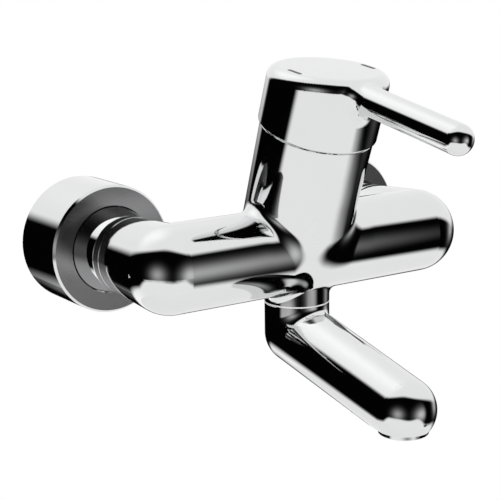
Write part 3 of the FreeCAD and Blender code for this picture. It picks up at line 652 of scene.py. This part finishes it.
def turned_brass():
    material, tree = new_finish("turned_brass")
    stain = noise(tree, scale=90.0, detail=4.0)
    rings = noise(tree, scale=60.0, detail=1.0, stretch=TURNING_RINGS)
    surface(tree, {"Base Color": two_tone(tree, *BRASS_TONES, stain), "Metallic": 1.0,
                   "Roughness": rough(stain, least=0.22, more=0.2)}, rings, depth=0.00005)
    return material


def stainless():
    material, tree = new_finish("stainless_steel")
    stain = noise(tree, scale=150.0, detail=4.0)
    surface(tree, {"Base Color": two_tone(tree, *STEEL_TONES, stain), "Metallic": 1.0,
                   "Roughness": rough(stain, least=0.28, more=0.2)}, stain)
    return material


def fired_ceramic():
    material, tree = new_finish("fired_ceramic")
    grain = noise(tree, scale=400.0, detail=3.0)
    surface(tree, {"Base Color": two_tone(tree, *CERAMIC_TONES, grain),
                   "Roughness": rough(grain, least=0.18, more=0.12)}, grain, depth=0.00002)
    return material


finishes["raw_brass"] = turned_brass()
finishes["stainless_steel"] = stainless()
finishes["ceramic"] = fired_ceramic()
print("metals and ceramic", sorted(finishes))

# %% [markdown]
# ## Plastic, rubber and enamel
# Moulded pieces are all made alike: a fine grain from the mould and a slow cloud in the colour. Only their
# tones and their gloss differ, so one function makes them from a short table.

# %% Moulded pieces
MOULDED = (                # slot, name, dark tone, light tone, roughness
    ("white_plastic", "white_plastic", (0.83, 0.83, 0.81, 1), (0.88, 0.88, 0.86, 1), 0.35),
    ("grey_plastic", "grey_plastic", (0.27, 0.28, 0.29, 1), (0.34, 0.35, 0.36, 1), 0.4),
    ("red_plastic", "red_plastic", (0.52, 0.06, 0.045, 1), (0.62, 0.09, 0.06, 1), 0.35),
    ("rubber", "seal_rubber", (0.022, 0.022, 0.022, 1), (0.04, 0.04, 0.04, 1), 0.6),
    ("black_paint", "black_paint", (0.012, 0.012, 0.012, 1), (0.025, 0.025, 0.025, 1), 0.35),
)


def moulded(name, dark, light, roughness):
    material, tree = new_finish(name)
    grain = noise(tree, scale=700.0, detail=3.0)
    cloud = noise(tree, scale=40.0, detail=2.0)
    surface(tree, {"Base Color": two_tone(tree, dark, light, cloud),
                   "Roughness": rough(grain, least=roughness, more=0.15)}, grain, depth=0.00003)
    return material


for slot, *look in MOULDED:
    finishes[slot] = moulded(*look)
print("all finishes", sorted(finishes))

# %% [markdown]
# ## The index marks
# Two short strokes of black enamel on the top of the hood say where hot and cold lie. Enamel is filled in
# proud of its groove and its ends are round, so each stroke is a rounded bar that overlaps the groove a little.
# A painted mask in the hood's material would do for a picture, but a piece of its own keeps a crisp edge.

# %% Two rounded strokes
MARK_OFFSET = 0.0216       # from the middle of the top
MARK_SHIFT = -0.0014
MARK_LENGTH = 0.0100
MARK_WIDTH = 0.0022
MARK_THICKNESS = 0.0005
MARK_PROUD = 0.00006
MARK_END_ROUND = 0.45 * MARK_WIDTH
MARK_RIM_ROUND = 0.00005
SHARP = 1.0                # radians between the faces of an edge that is rounded


def is_upright(edge):
    return abs(edge.verts[0].co.z - edge.verts[1].co.z) > MARK_RIM_ROUND


def is_upper_rim(edge):
    return (all(corner.co.z > 0 for corner in edge.verts) and len(edge.link_faces) == 2
            and edge.calc_face_angle() > SHARP)


def rounded(form, edges, offset, segments):
    bmesh.ops.bevel(form, geom=edges, offset=offset, offset_type="OFFSET", affect="EDGES", segments=segments,
                    profile=0.5, material=-1)


def stroke_form():
    """Both strokes, flat on the level top of an upright hood."""
    form = bmesh.new()
    for side in (-1, 1):
        stroke = bmesh.ops.create_cube(form, size=1.0)["verts"]
        bmesh.ops.scale(form, vec=(MARK_WIDTH, MARK_LENGTH, MARK_THICKNESS), verts=stroke)
        bmesh.ops.translate(form, vec=(side * MARK_OFFSET, MARK_SHIFT, MARK_PROUD - MARK_THICKNESS / 2),
                            verts=stroke)
    rounded(form, [edge for edge in form.edges if is_upright(edge)], MARK_END_ROUND, segments=6)
    rounded(form, [edge for edge in form.edges if is_upper_rim(edge)], MARK_RIM_ROUND, segments=2)
    return form


strokes_form = stroke_form()
print("stroke faces", len(strokes_form.faces))

# %% The strokes on the hood
LEAN = math.radians(19.4)  # the housing leans out of the wall
TOP_FALL = math.radians(8.4)                # the top's own fall, from level
LEAN_FOOT = (0.0, -0.0847, 0.0)
HOOD_TOP = (0.0, 0.0, 0.0964)               # along the leaning axis


def add_strokes(form):
    lean = Matrix.Translation(LEAN_FOOT) @ Matrix.Rotation(LEAN, 4, "X")
    form.transform(lean @ Matrix.Translation(HOOD_TOP) @ Matrix.Rotation(TOP_FALL - LEAN, 4, "X"))
    bmesh.ops.recalc_face_normals(form, faces=form.faces)
    strokes = new_object(form, "index_strokes", finishes["black_paint"])
    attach(strokes, "handle")
    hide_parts("index_marks")


add_strokes(strokes_form)

# %% [markdown]
# ## Dressing the solids
# Each solid keeps its mesh and gets its finish by the slot that the record gives it. A list of names for every
# finish would do too, but the slots already say it, so only the body, spout, handle and both covers, which have
# a chrome of their own, are named. Pieces inside the castings are left out of mirror reflections, because a
# casting is closed and no mirror sees them.

# %% Dress the solids
OWN_FINISH = {"mixer_body": "body_chrome", "spout": "spout_chrome", "handle": "handle_chrome",
              "escutcheon_left": "cover_chrome", "escutcheon_right": "cover_chrome"}
IN_MIRRORS = ("mixer_body", "spout", "handle", "outlet_slip_ring",
              "escutcheon_left", "escutcheon_right", "union_nut_left", "union_nut_right")


def dress_nodes():
    """A solid's material is named after its slot; a repeated name has a dot and a number behind it."""
    for name, node in nodes.items():
        node.visible_glossy = name in IN_MIRRORS
        for slot in node.material_slots:
            slot.material = finishes[OWN_FINISH.get(name, slot.material.name.split(".")[0])]


dress_nodes()
print("dressed", len(nodes), "solids, in mirrors", len(IN_MIRRORS))

# %% [markdown]
# ## Finish
# The view transform stays plain so that colours come out as they are written.

# %% Finish
bpy.context.scene.view_settings.view_transform = "Standard"
